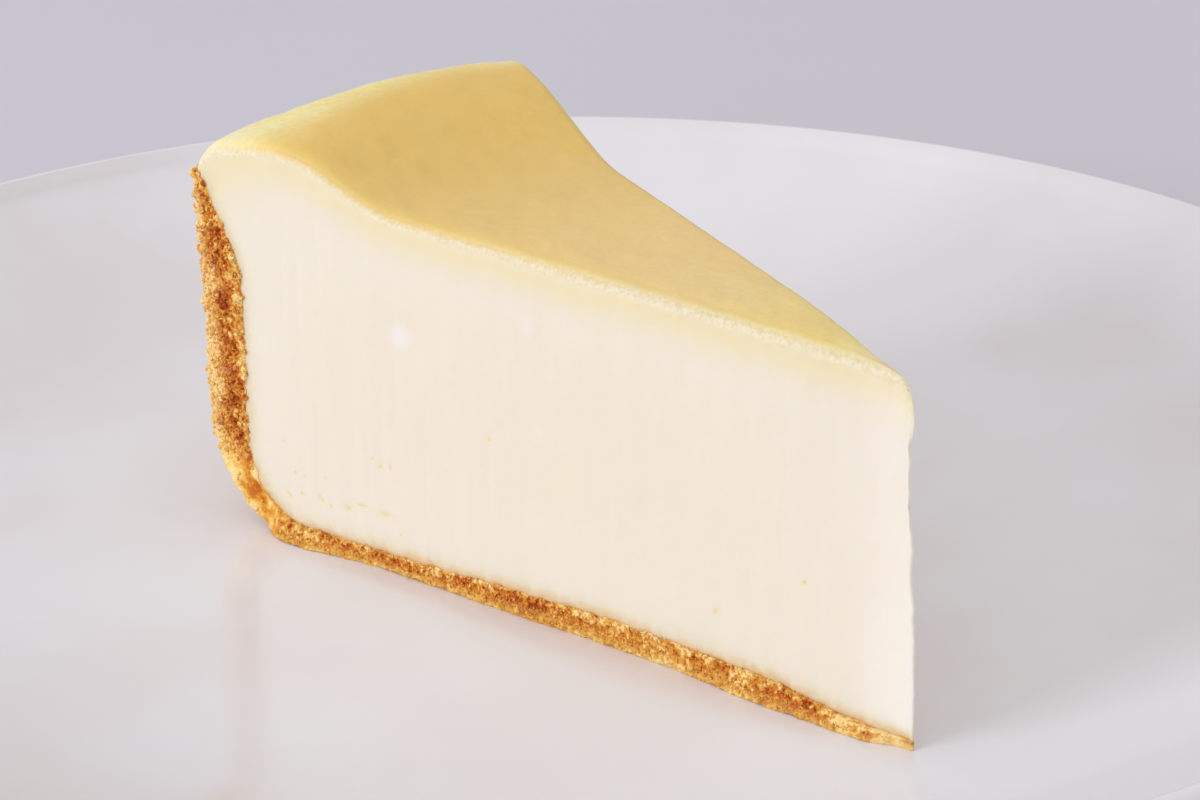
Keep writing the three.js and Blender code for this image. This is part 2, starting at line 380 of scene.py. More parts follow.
def block(steps):
    """The outside of a box of cells: each point's three shares from 0 to 1, and the quads, facing out."""
    numbers = np.indices([n + 1 for n in steps])
    outside = sum((line % n == 0) for line, n in zip(numbers, steps)) > 0
    number = np.full(outside.shape, -1)
    number[outside] = np.arange(outside.sum())
    quads = []
    for axis in range(3):
        layers = np.transpose(number, [axis, (axis + 1) % 3, (axis + 2) % 3])
        for sheet, way in ((layers[0], -1), (layers[-1], 1)):
            quad = np.stack([sheet[:-1, :-1], sheet[1:, :-1], sheet[1:, 1:], sheet[:-1, 1:]], axis=-1)
            quads.append(quad.reshape(-1, 4)[:, ::way])
    shares = [line[outside] / n for line, n in zip(numbers, steps)]
    return shares, np.concatenate(quads)


def facing(points, quads):
    """Unit normals at the points: the sum of the crosses of their quads' diagonals, made one long."""
    a, b, c, d = (points[quads[:, n]] for n in range(4))
    cross = np.cross(c - a, d - b)
    sums = [np.bincount(quads.ravel(), np.repeat(cross[:, n], 4), len(points)) for n in range(3)]
    normals = np.stack(sums, axis=-1)
    return normals / np.linalg.norm(normals, axis=1, keepdims=True)


def rounded(points, quads, share, times):
    """Takes the sharpness off edges: several times over, each point moves by its share towards the mean
    of the middles of the quads round it."""
    around = np.bincount(quads.ravel(), minlength=len(points))[:, None]
    for _ in range(times):
        middles = points[quads].mean(axis=1)
        sums = [np.bincount(quads.ravel(), np.repeat(middles[:, n], 4), len(points)) for n in range(3)]
        points = mix(points, np.stack(sums, axis=-1) / around, share[:, None])
    return points


def tip_at(z):
    """r of the slice's tip at a height: it leans back above its foot, and stands out a little on top."""
    return TIP_FOOT + TIP_LEAN * z - TIP_LIP * bell(z, TIP_LIP_AT, TIP_LIP_REACH)


def in_plan(r, across, z):
    """Place on the plate of a point r from where the cuts meet; across runs from -1, the near cut, to 1,
    the far cut. The far cut draws in towards the tip, which is a narrow strip with a slight bulge."""
    angle = across * HALF_ANGLE
    tip = tip_at(z)
    extra = 2 * (tip * np.sin(HALF_ANGLE) + CUT_OFFSET) - TIP_WIDTH
    drawn_in = extra * (1 - smooth((r - tip) / TIP_NARROWING_FADE)) * (across + 1) / 2
    bulge = TIP_BULGE * np.sqrt(1 - np.clip(across, -1, 1) ** 2) * np.exp((tip - r) / TIP_BULGE)
    return TIP_X - r * np.cos(angle) + bulge, TIP_Y + r * np.sin(angle) + CUT_OFFSET * across - drawn_in


def wall_outer(z):
    """The wall's outer radius: straight up from the pan's corner, with a slight flare."""
    return WALL_RADIUS + WALL_FLARE * np.clip((z - PAN_CORNER) / (WALL_TOP - PAN_CORNER), 0, 1) ** 2


def wall_inner(z):
    """The wall's inner radius: a constant thickness that swells and then thins out towards the lip."""
    taper = np.clip((z - WALL_TAPER_FROM) / (WALL_TOP - WALL_TAPER_FROM), 0, 1) ** WALL_TAPER_POWER
    swell = WALL_SWELL * bell(z, WALL_SWELL_AT, WALL_SWELL_REACH)
    return wall_outer(z) - mix(WALL_THICK, WALL_LIP_THICK, taper) - swell


def base_top(r):
    """Thickness of the base: swollen under the middle of the slice, thin at the tip."""
    swell = BASE_SWELL * bell(r, BASE_SWELL_AT, BASE_SWELL_REACH)
    return BASE_THICK + swell - TIP_THINNING * smooth((TIP_THIN_FROM - r) / (TIP_THIN_FROM - TIP_THIN_TO))


INNER_CENTRE_R = WALL_RADIUS - WALL_THICK - INNER_CORNER
INNER_CENTRE_Z = base_top(INNER_CENTRE_R) + INNER_CORNER


def joined(share, turns, base, corner, wall):
    """Follows base, then corner, then wall, each over its own stretch of the share."""
    first = share < turns[0]
    second = (share >= turns[0]) & (share < turns[1])
    on_base = base(np.clip(share / turns[0], 0, 1))
    on_corner = corner(np.clip((share - turns[0]) / (turns[1] - turns[0]), 0, 1))
    on_wall = wall(np.clip((share - turns[1]) / (1 - turns[1]), 0, 1))
    return np.select([first, second], [on_base, on_corner], on_wall)


def crust_inside(share, turns):
    """The crust's face against the filling, as r and height."""
    z_wall = lambda s: mix(INNER_CENTRE_Z, WALL_TOP, s)
    r_base = lambda s: mix(tip_at(base_top(0.0)), INNER_CENTRE_R, s)
    r = joined(
        share,
        turns,
        r_base,
        lambda s: INNER_CENTRE_R + INNER_CORNER * np.sin(s * np.pi / 2),
        lambda s: wall_inner(z_wall(s)),
    )
    z = joined(
        share,
        turns,
        lambda s: base_top(r_base(s)),
        lambda s: INNER_CENTRE_Z - INNER_CORNER * np.cos(s * np.pi / 2),
        z_wall,
    )
    return r, z


def crust_outside(share, turns):
    """The crust's face that lay on the pan: flat bottom, round corner, wall."""
    flat = WALL_RADIUS - PAN_CORNER
    z_wall = lambda s: mix(PAN_CORNER, WALL_TOP, s)
    r = joined(
        share,
        turns,
        lambda s: mix(TIP_FOOT, flat, s),
        lambda s: flat + PAN_CORNER * np.sin(s * np.pi / 2),
        lambda s: wall_outer(z_wall(s)),
    )
    z = joined(
        share, turns, lambda s: 0 * s, lambda s: PAN_CORNER * (1 - np.cos(s * np.pi / 2)), z_wall
    )
    return r, z


def spread(r, z):
    """How far the crust's foot stands out past the cuts: a little along the base but for a hollow, more
    near the tip and most by the pan's corner, dying away by the square of the height."""
    by_tip = SPREAD_BY_TIP * smooth((r - 0.5) / 5) * (1 - smooth((r - 20) / 14))
    by_corner = SPREAD_BY_CORNER * smooth((r - SPREAD_CORNER_FROM) / 14)
    by_corner = by_corner * (1 - smooth((r - SPREAD_CORNER_TO) / 6))
    hollow = SPREAD_ALONG * bell(r, SPREAD_HOLLOW_AT, SPREAD_HOLLOW_REACH)
    out = SPREAD_ALONG * smooth(r / 6) + by_tip - hollow + by_corner
    return out * (1 - np.clip(z / SPREAD_HEIGHT, 0, 1)) ** 2


def pushed_out(r, z, across, out):
    """Plan place of points on the cuts, moved out square to the cut that they are on."""
    x, y = in_plan(r, across, z)
    side = np.where(np.abs(across) > 0.999, np.sign(across), 0)
    back, sideways = np.abs(side) * out * np.sin(HALF_ANGLE), side * out * np.cos(HALF_ANGLE)
    return np.stack([x + back, y + sideways, z], -1)


def spots(r, z, places):
    """1 at each place (r, z, size, strength) times its strength, falling off as a bell of its size."""
    return sum(
        strength * np.exp(-(((r - at_r) ** 2 + (z - at_z) ** 2) / size**2))
        for at_r, at_z, size, strength in places
    )


SEAT = np.array([0, 0, WELL_LEVEL + SEAT_GAP])
PALER_PATCHES = (
    (113.6, 42.0, 1.6, 0.5),
    (110.6, 34.5, 1.6, 0.5),
    (111.3, 24.0, 2.0, 0.6),
    (111.0, 18.5, 2.0, 0.5),
    (109.0, 8.5, 4.2, 0.6),
    (104.0, 2.5, 3.2, 0.3),
    (35.0, 1.2, 3.0, 0.4),
    (8.0, 0.6, 1.6, 0.5),
    (1.5, 0.5, 3.2, 1.0),
)
DARKER_PATCHES = (
    (111.6, 40.5, 1.2, 0.8),
    (111.0, 37.5, 2.0, 0.7),
    (109.6, 31.5, 1.6, 0.9),
    (109.2, 25.5, 2.0, 0.6),
    (110.3, 22.0, 0.8, 0.8),
    (111.4, 13.8, 1.0, 0.9),
    (108.0, 17.5, 2.0, 0.7),
    (98.5, 2.4, 0.9, 1.2),
    (57.0, 1.6, 3.0, 0.5),
    (16.0, 1.0, 3.0, 0.3),
)


def waxiness(r, z):
    """1 where the crust was pressed smooth and buttery, at the pan's corner, 0 elsewhere."""
    return smooth((r - WAXY_FROM) / 6) * (1 - smooth((z - WAXY_UP_TO) / 4.5))


def crust_shape():
    """The crust's points, quads and marks. A box of cells is bent along the section, and then relief is
    added square to the surface where it is open to the air: crumbs in three sizes of lumps, or softer
    folds where it is waxy."""
    (along, through, round_share), quads = block(CRUST_STEPS)
    across = round_share * 2 - 1
    r_out, z_out = crust_outside(along, CRUST_TURNS)
    r_in, z_in = crust_inside(along, CRUST_TURNS)
    r, z = mix(r_out, r_in, through), mix(z_out, z_in, through)
    sideways = across * r * HALF_ANGLE
    flat = np.stack([r, z, sideways], -1)
    on_wall = smooth((along - CRUST_TURNS[0]) / (CRUST_TURNS[1] - CRUST_TURNS[0]))
    r = r + through * on_wall * WALL_WAVE * lumps(flat, 4.5, 1)
    z = z + through * (1 - on_wall) * BASE_WAVE * smooth(r / 20) * lumps(flat, 6.0, 2)
    z = z + (along == 1) * LIP_RAGGED * lumps(flat, 2.2, 3)
    z = z - (1 - on_wall) * (1 - through) * SEAT_GAP
    points = pushed_out(r, z, across, spread(r, z))
    points = rounded(points, quads, np.full(len(points), 0.35), 2)
    on_cut = (round_share == 0) | (round_share == 1)
    open_air = np.maximum(on_cut, (through == 0) * on_wall)
    open_air = np.maximum(open_air, (along == 1) | (along == 0))
    waxy = waxiness(r, z)
    large = 0.25 * lumps(flat, 3.4, 4) + 0.26 * crumbly(flat, 1.7, 5)
    height = large * mix(0.5, 1.0, on_wall) + 0.2 * crumbly(flat, 0.9, 6)
    height = mix(height, 0.36 * crumbly(flat, 2.6, 27) + 0.2 * crumbly(flat, 1.2, 28), waxy)
    relief = open_air * height * mix(0.4, 1.0, smooth(r / 18))
    points = points + facing(points, quads) * relief[:, None] + SEAT
    marks = {
        "inside": through,
        "upright": on_wall,
        # The relief's height also goes to the colour, as painted shade in crevices and painted light on
        # crests.
        "proud": height,
        "patch": spots(r, z, PALER_PATCHES) - spots(r, z, DARKER_PATCHES),
        "on_cut": on_cut,
        "waxy": waxy,
        "open_air": open_air,
    }
    return points, quads, marks


def crust_finish():
    """Baked biscuit crumbs: grains from pale gold to dark brown, in patches, darker inside than on the
    pan's side, a yellower gold along the base's bottom, and buttery folds of orange and cream where the
    crust is waxy. The relief's height is painted in too: painted shade in its crevices and painted light
    on its crests, strongest on the waxy folds."""
    crust = Finish("biscuit_crust", IOR=1.45, Specular_IOR_Level=0.2)
    inside, upright, waxy = crust.mark("inside"), crust.mark("upright"), crust.mark("waxy")
    proud, patch, tone = crust.mark("proud"), crust.mark("patch"), crust.mark("tone")
    grainy = 1 - waxy * 0.85
    wide = crust.noise(3.2, 2.0)
    coarse = crust.noise(0.8, 2.0)
    fine = crust.grains(0.3)
    deep = inside + (wide - 0.5) * 0.8 + (coarse - 0.5) * 0.7
    browner = deep.between(0.12, 0.52)
    shade = (wide - 0.5) * (0.9 + waxy * 0.5) + (coarse - 0.5) * grainy + (fine - 0.5) * 0.4 * grainy
    # proud, the relief's height, paints shade into the crevices and light onto the crests.
    shade = shade + tone * 0.08 + patch * 0.35 + 0.61 + upright * 0.15 + proud * (0.35 + waxy * 0.5)
    shade = shade - browner * (upright * 0.21 + 0.17) + deep.between(0.6, 1.0) * 0.2
    colour = crust.ramp(
        shade,
        [
            (0.00, paint(140, 50, 12)),
            (0.20, paint(184, 84, 24)),
            (0.42, paint(207, 129, 42)),
            (0.66, paint(228, 170, 74)),
            (0.95, paint(252, 220, 148)),
        ],
    )
    colour = crust.blended(upright * (1 - browner) * 0.25, colour, paint(246, 212, 156))
    lower = (1 - upright) * (1 - deep.between(0.15, 0.55))
    colour = crust.blended(lower * 0.3, colour, paint(226, 186, 92))
    colour = crust.blended(patch.between(0.2, 1.3) * 0.6, colour, paint(248, 217, 148))
    folds = crust.noise(1.3, 2.0)
    buttery = crust.ramp(
        shade + (folds - 0.5) * 1.5 - 0.06,
        [
            (0.15, paint(196, 104, 22)),
            (0.50, paint(230, 156, 48)),
            (0.80, paint(246, 204, 110)),
            (1.00, paint(250, 222, 152)),
        ],
    )
    colour = crust.blended(waxy * 0.85, colour, buttery)
    relief = crust.bumps(fine * grainy, 0.3, 0.1, crust.bumps(coarse, 0.5, 0.5))
    crust.feed(crust.shader, {"Base Color": colour, "Roughness": 0.78 - fine * 0.28, "Normal": relief})
    return crust.material


crust_points, crust_quads, crust_marks = crust_shape()
crust = surface("crumb_crust", crust_points, [crust_quads], crust_marks)
crust_material = crust_finish()
fitted(crust, crust_material, "crust", "crust")


# The loose crumbs: broken grains that stand proud on the crust's cut faces, fine ones, and on its wall
# and along its lip, larger ones, held by butter. Each is a small rough stone of twenty faces.
CRUMBS_ON_CUTS = 8000
CRUMBS_ON_WALL = 9400
CRUMB_IN_BASE = 0.17
CRUMB_IN_WALL = 0.25
CRUMB_SQUASH = (0.5, 1.4)
CRUMB_ROUGHNESS = (0.75, 1.2)
CRUMB_STANDS_OUT = (-0.75, 0.25)
CRUMB_OVER_PLATE = 0.02
GOLDEN = (1 + 5**0.5) / 2


def stone():
    """An icosahedron's twelve corners at distance one, and its twenty faces."""
    corners = np.array([(0, a, b * GOLDEN) for a in (-1, 1) for b in (-1, 1)])
    corners = np.concatenate([np.roll(corners, turn, axis=1) for turn in range(3)])
    corners = corners / np.linalg.norm(corners[0])
    near = np.linalg.norm(corners[:, None] - corners[None], axis=-1) < 1.2
    faces = [
        (a, b, c)
        for a in range(12)
        for b in range(a + 1, 12)
        for c in range(b + 1, 12)
        if near[a, b] and near[b, c] and near[a, c]
    ]
    faces = np.array(faces)
    a, b, c = (corners[faces[:, n]] for n in range(3))
    inwards = (np.cross(b - a, c - a) * a).sum(axis=1) < 0
    faces[inwards] = faces[inwards][:, ::-1]
    return corners, faces


def spins(quaternions):
    """Rotation matrices of unit quaternions, by the usual formula."""
    w, x, y, z = quaternions.T
    rows = [
        [1 - 2 * (y * y + z * z), 2 * (x * y - z * w), 2 * (x * z + y * w)],
        [2 * (x * y + z * w), 1 - 2 * (x * x + z * z), 2 * (y * z - x * w)],
        [2 * (x * z - y * w), 2 * (y * z + x * w), 1 - 2 * (x * x + y * y)],
    ]
    return np.moveaxis(np.array(rows), -1, 0)


def crumbs_shape(seed, count, on_cuts):
    """Stones on quads of the crust drawn by their open area: each is turned, squashed and sized by draw,
    and sunk into the crust by a draw of up to most of its size."""
    draw = np.random.default_rng(seed)
    a, b, c, d = (crust_points[crust_quads[:, n]] for n in range(4))
    cross = np.cross(c - a, d - b)
    area = np.linalg.norm(cross, axis=1)
    open_air = crust_marks["open_air"][crust_quads].min(axis=1) > 0.5
    above = crust_points[crust_quads][:, :, 2].min(axis=1) > WELL_LEVEL + 0.35
    on_cut = crust_marks["on_cut"][crust_quads].min(axis=1) > 0.5
    bare = 1 - 0.9 * crust_marks["waxy"][crust_quads].mean(axis=1)
    weight = area * open_air * above * bare * (on_cut == on_cuts)
    chosen = draw.choice(len(crust_quads), count, p=weight / weight.sum())
    s, t = draw.random((2, count, 1))
    place = mix(mix(a[chosen], b[chosen], s), mix(d[chosen], c[chosen], s), t)
    out = cross[chosen] / area[chosen, None]
    upright = crust_marks["upright"][crust_quads[chosen, 0]]
    size = np.clip(draw.lognormal(0, 0.45, count), 0.5, 2.4) * mix(CRUMB_IN_BASE, CRUMB_IN_WALL, upright)
    size = size * mix(0.5, 1.0, smooth((TIP_X - place[:, 0]) / 14))
    corners, faces = stone()
    turn = draw.normal(size=(count, 4))
    turn = spins(turn / np.linalg.norm(turn, axis=1, keepdims=True))
    squash = draw.uniform(*CRUMB_SQUASH, (count, 1, 3)) * draw.uniform(*CRUMB_ROUGHNESS, (count, 12, 1))
    shapes = np.einsum("nij,nkj->nki", turn, corners * squash) * size[:, None, None]
    middle = place + out * (size * draw.uniform(*CRUMB_STANDS_OUT, count))[:, None]
    points = shapes + middle[:, None]
    points[:, :, 2] = np.maximum(points[:, :, 2], WELL_LEVEL + CRUMB_OVER_PLATE)
    numbers = faces[None] + 12 * np.arange(count)[:, None, None]
    names = ("inside", "upright", "patch", "waxy")
    marks = {name: np.repeat(crust_marks[name][crust_quads[chosen, 0]], 12) for name in names}
    tone = np.repeat(draw.gamma(1.0, 1.1, count) - 0.7, 12)
    return points.reshape(-1, 3), [numbers.reshape(-1, 3)], marks | {"tone": tone}


cut_crumbs = surface("crust_crumbs", *crumbs_shape(7, CRUMBS_ON_CUTS, True), False)
wall_crumbs = surface("wall_crumbs", *crumbs_shape(8, CRUMBS_ON_WALL, False), False)
fitted(cut_crumbs, crust_material, "crust", "crust")
fitted(wall_crumbs, crust_material, "crust", "crust")


# The filling: baked cream cheese, poured into the crust. It has risen at the rim, over the crust's
# lip, and stayed lower in the middle. Its top has baked to a golden leathery skin, with a pale
# grainy line and a yellow band under it; the cuts show smooth cream with a few pits and drag marks.
LEVEL = 47.5
EDGE_FALL = 0.4
EDGE_FALL_REACH = 1.6
SLOPE = 0.034
RIM_RISE = 4.5
RIM_FROM = 78.2
RIM_TO = 98.0
RIM_MIDDLE = 1.0
RIM_FAR = 1.8
RIM_SOONER = 3.0
RIM_LATER = 8.6
SHOULDER_FROM = 105.5
SHOULDER_FROM_NEAR = 108.8
SHOULDER_TO = wall_inner(WALL_TOP)
NEAR_FALL = 1.7
NEAR_FALL_FROM = 99.0
NEAR_FALL_TO = 110.5
FAR_SINK = 0.35
FAR_TIP_SINK = 0.9
FAR_TIP_REACH = 12.0
TIP_FALL = 1.0
TIP_FALL_REACH = 3.5
TIP_CORNER = 1.6
TIP_CORNER_REACH = 0.5
TIP_WAVE = 0.09
TIP_CROWDING = 1.2
SINK = 0.7
SHOULDER_HEIGHTS = 0.72
FILLING_STEPS = (240, 104, 66)
EDGE_ROUND = 1.7
FAR_CUT_TURN = 118.0
PIT_LENGTHS = 0.85
PIT_WIDTHS = 1.6
WHITE_SPOTS = (
    (78.1, 33.6, 2.2, 1.0),
    (57.0, 39.8, 1.6, 0.6),
    (55.1, 26.0, 2.0, 0.5),
    (46.5, 29.7, 1.5, 0.25),
)
PITS = (
    (93.1, 6.8, 0.75, 0.20, 32),
    (88.4, 6.7, 0.75, 0.22, 23),
    (86.0, 7.8, 1.00, 0.16, -2),
    (81.7, 7.7, 1.15, 0.20, 2),
    (99.1, 6.1, 0.55, 0.14, 29),
    (91.5, 6.3, 0.28, 0.20, 0),
    (96.7, 6.8, 0.30, 0.18, 10),
    (97.7, 9.5, 0.25, 0.15, 40),
    (96.0, 9.5, 0.25, 0.15, -20),
    (92.3, 10.3, 0.20, 0.14, 0),
    (83.6, 15.3, 0.22, 0.14, 60),
    (82.3, 14.4, 0.34, 0.20, 30),
    (80.5, 14.7, 0.30, 0.24, 0),
    (90.9, 3.5, 0.18, 0.14, 0),
    (79.1, 5.3, 0.22, 0.14, 0),
    (99.7, 13.7, 0.24, 0.16, 45),
    (63.3, 23.2, 0.26, 0.20, 20),
    (27.8, 9.5, 0.36, 0.22, 10),
    (14.9, 17.2, 0.32, 0.22, 80),
)


def top_level(r, across):
    """Height of the filling's top: a slight slope, a smooth rise to the rim, higher at the middle and the
    far side, and a fall at the tip and towards both cuts by dying powers of e."""
    far = (across + 1) / 2
    rise_from = RIM_FROM - RIM_SOONER * far
    rise = smooth((r - rise_from) / (RIM_TO + RIM_LATER * far - rise_from))
    hump = RIM_MIDDLE * (1 - across**2) + RIM_FAR * far
    behind = np.maximum(r - tip_at(LEVEL), 0)
    inland = (1 - np.abs(across)) * (r * HALF_ANGLE + CUT_OFFSET)
    fall = TIP_FALL * np.exp(-behind / TIP_FALL_REACH) + TIP_CORNER * np.exp(-behind / TIP_CORNER_REACH)
    fall = fall + far * (FAR_SINK + FAR_TIP_SINK * np.exp(-r / FAR_TIP_REACH))
    near_fall = NEAR_FALL * near_share(across)
    fall = fall + near_fall * smooth((r - NEAR_FALL_FROM) / (NEAR_FALL_TO - NEAR_FALL_FROM))
    fall = fall + EDGE_FALL * np.exp(-inland / EDGE_FALL_REACH)
    return LEVEL + SLOPE * r + rise * (RIM_RISE + hump) - fall


def near_share(across):
    """1 at the near cut, 0 from a little past the slice's middle."""
    return 1 - smooth((across + 1) / 1.2)


def shoulder(across):
    """Where the top turns down to the crust's lip, from cut to cut: r and height. It is tighter at the
    near cut."""
    start = mix(SHOULDER_FROM_NEAR, SHOULDER_FROM, smooth((across + 1) / 0.7))
    return start, top_level(start, across)


def filling_edge(z):
    """r of the filling's outer edge at a height below the lip: along the crust's round corner and wall,
    sunk into it by a little."""
    low = np.clip((INNER_CENTRE_Z - z) / (INNER_CORNER + SINK), 0, 1)
    in_corner = INNER_CENTRE_R + (INNER_CORNER + SINK) * np.sqrt(1 - low**2)
    on_wall = wall_inner(z) + SINK * np.clip((WALL_TOP - z) / 3, 0, 1)
    return np.where(z < INNER_CENTRE_Z, in_corner, on_wall)


def filling_section(share, up, across):
    """r and height of the filling's section. Columns run up from the base to the top; the last one runs
    along the crust's inside, and above the lip all of them bend back along a quarter of an ellipse."""
    start, ridge = shoulder(across)
    r_top = mix(tip_at(LEVEL), start, share)
    top = top_level(r_top, across)
    at_lip = top * WALL_TOP / ridge
    base = base_top(mix(tip_at(0), INNER_CENTRE_R, share))
    base = base - np.minimum(SINK, 0.4 * base)
    past = np.clip((up - SHOULDER_HEIGHTS) / (1 - SHOULDER_HEIGHTS), 0, 1)
    past = 0.6 * np.sin(past * np.pi / 2) + 0.4 * past
    z_low = mix(base, at_lip, np.minimum(up / SHOULDER_HEIGHTS, 1))
    r_low = mix(tip_at(z_low), filling_edge(z_low), share)
    r = mix(r_top, r_low, np.sqrt(1 - past**2))
    return r, mix(z_low, top_level(np.minimum(r, start), across), past)


def under_skin(r, z, across):
    """How deep a place of the section lies under the top and the shoulder, and the skin's way out there,
    as r and height: by the height of the triangle between what is above and what is beside the place."""
    start, ridge = shoulder(across)
    width, height = SHOULDER_TO - start, ridge - WALL_TOP
    over = np.clip((r - start) / width, 0, 1)
    up = np.clip((z - WALL_TOP) / height, 0, 1)
    above = np.where(r < start, top_level(r, across), WALL_TOP + height * np.sqrt(1 - over**2)) - z
    beside = start + width * np.sqrt(1 - up**2) - r
    beside = np.hypot(beside, np.minimum(z - WALL_TOP, 0))
    above, beside = np.maximum(above, 0), np.maximum(beside, 0)
    lean = np.stack([over / width, np.maximum(up, 0.05) / height], -1)
    lean = lean / np.linalg.norm(lean, axis=1, keepdims=True)
    return above * beside / np.hypot(above, beside + 1e-9), lean


def filling_shape():
    """The filling's points, quads and marks: the section swept from cut to cut, a quarter circle taken
    off the edges where the cuts meet the skin, and then relief square to the surface: a proud grainy
    line, waviness, pits and dimples."""
    (along, up, round_share), quads = block(FILLING_STEPS)
    across = round_share * 2 - 1
    across = across + 0.15 * np.sin(np.pi * across)
    r, z = filling_section(along**TIP_CROWDING, up, across)
    on_cut = (round_share == 0) | (round_share == 1)
    at_tip = along == 0
    on_skin = (up == 1) | ((along == 1) & (z > WALL_TOP))
    hidden = ((up == 0) | (along == 1)) & ~on_skin
    depth, way_out = under_skin(r, z, across)
    depth = np.where(on_skin, 0, depth)
    half_width = r * HALF_ANGLE + CUT_OFFSET
    from_cut = (1 - np.abs(across)) * half_width
    inland = np.minimum(from_cut, np.where(r < 30, r - tip_at(z), from_cut))
    below = np.where(on_skin, -inland, depth)

    up_only = np.stack([0 * z, z, 0 * z], -1)
    ragged = lumps(up_only, 3.7, 17) + 0.5 * lumps(up_only, 1.4, 24) + 0.3 * lumps(up_only, 0.6, 25)
    r = r + TIP_WAVE * ragged * np.exp(-(r - tip_at(z)) / 1.5) * smooth(depth / 3)
    radius = np.minimum(EDGE_ROUND, 0.7 * half_width)
    radius = radius * mix(1.0, smooth((z - WALL_TOP) / 4), smooth((r - 103) / 3)) + 1e-6
    past_edge, to_edge = np.clip(from_cut / radius, 0, 1), np.clip(depth / radius, 0, 1)
    turn = np.where(on_skin, 1 + past_edge, 1 - to_edge) * np.pi / 4
    inwards = radius * (1 - np.cos(turn)) - np.where(on_skin, np.minimum(from_cut, radius), 0)
    inwards = np.where(on_cut | on_skin, inwards, 0)
    down = radius * (1 - np.sin(turn)) - np.where(on_skin, 0, np.minimum(depth, radius))
    down = np.where(on_cut | on_skin, down, 0)
    x, y = in_plan(r - way_out[:, 0] * down, across, z)
    side = np.sign(across)
    points = np.stack(
        [
            x - np.abs(side) * inwards * np.sin(HALF_ANGLE),
            y - side * inwards * np.cos(HALF_ANGLE),
            z - way_out[:, 1] * down,
        ],
        -1,
    )

    sideways = across * r * HALF_ANGLE
    flat = np.stack([r, z, sideways], -1)
    line = bell(below, 1.1, 0.75) * (0.07 + 0.08 * lumps(flat, 0.9, 11) + 0.06 * lumps(flat, 2.3, 12))
    knife = np.stack([r, z / 14, sideways], -1)
    waviness = 0.14 * lumps(flat, 11, 13) + 0.07 * lumps(flat, 4.2, 14) + 0.06 * lumps(knife, 1.3, 15)
    waviness = waviness + 0.04 * lumps(flat, 1.1, 16)
    away = from_crust(r, z)
    seam = 1 - smooth(away / 3.0)
    cut_r = np.where(across < 0, r, FAR_CUT_TURN - r)
    pitted = spots(cut_r, z, [(at_r, at_z, long * 0.8, 1.0) for at_r, at_z, long, _, _ in PITS])
    cut_relief = line + waviness * smooth(below / 3) + seam * 0.2 * lumps(flat, 1.0, 18) - pitted * 0.08
    under_tip = smooth(below / 0.6) * bell(r, 1.0, 2.5) * bell(below, 2.5, 2.5)
    cut_relief = cut_relief + under_tip * 0.2 * lumps(flat, 0.9, 26)
    cut_relief = cut_relief - 0.5 * smooth((-away - 0.35) / 0.3)
    slant = np.stack([(r + sideways) / 5, z, (r - sideways)], -1)
    dimples = 0.10 * lumps(flat, 2.6, 19) + 0.05 * lumps(flat, 1.3, 20) + 0.035 * lumps(slant, 1.6, 21)
    relief = np.where(on_skin, dimples * smooth(inland / 1.5), cut_relief * (on_cut | at_tip))
    relief = np.where(hidden & ~on_cut, 0, relief)
    points = points + facing(points, quads) * relief[:, None] + SEAT
    far = smooth((across + 1) / 1.4)
    rim = smooth((r - mix(95.5, 101.0, far) + 1.2 * lumps(flat, 6, 22)) / mix(11.0, 8.0, far))
    marks = {
        "below": below,
        "rim": rim,
        "from_tip": r,
        "cut_r": cut_r,
        "white": spots(cut_r, z, WHITE_SPOTS),
        "off_crust": away,
        "height": z,
    }
    return points, quads, marks


def from_crust(r, z):
    """How far a place on the section lies from the line where filling meets crust, less than 0 past it."""
    over_base = z - base_top(r)
    before_wall = wall_inner(z) - r
    corner = INNER_CORNER - np.hypot(r - INNER_CENTRE_R, z - INNER_CENTRE_Z)
    in_corner = (r > INNER_CENTRE_R) & (z < INNER_CENTRE_Z)
    return np.where(in_corner, corner, np.minimum(over_base, before_wall))


def bell_shaped(amount, middle, reach):
    """1 at the middle, smoothly down to 0 a reach away on both sides."""
    return amount.between(middle - reach, middle) * (1 - amount.between(middle, middle + reach))


def pit_nearness(finish, r, height):
    """How near the least far pit is on a cut: 0 in its middle, 1 at its edge, more outside. Each pit, by
    its r, height, length, width and degrees of tilt, is an ellipse on the section, and a fine noise makes
    them ragged."""
    ragged = (finish.noise(1.1, 2.0) - 0.5) * 0.9
    section = finish.node("ShaderNodeCombineXYZ", {}, {0: r, 1: height + ragged})
    nearest = 9.0
    for at_r, at_z, length, width, tilt in PITS:
        values = {
            "Vector": section,
            "Location": (at_r, at_z, 0),
            "Rotation": (0, 0, np.radians(tilt)),
            "Scale": (length * PIT_LENGTHS, width * PIT_WIDTHS, 1),
        }
        place = finish.node("ShaderNodeMapping", {"vector_type": "TEXTURE"}, values)
        away = finish.node("ShaderNodeVectorMath", {"operation": "LENGTH"}, {0: place}, "Value")
        nearest = finish.node("ShaderNodeMath", {"operation": "MINIMUM"}, {0: away, 1: nearest})
    return nearest


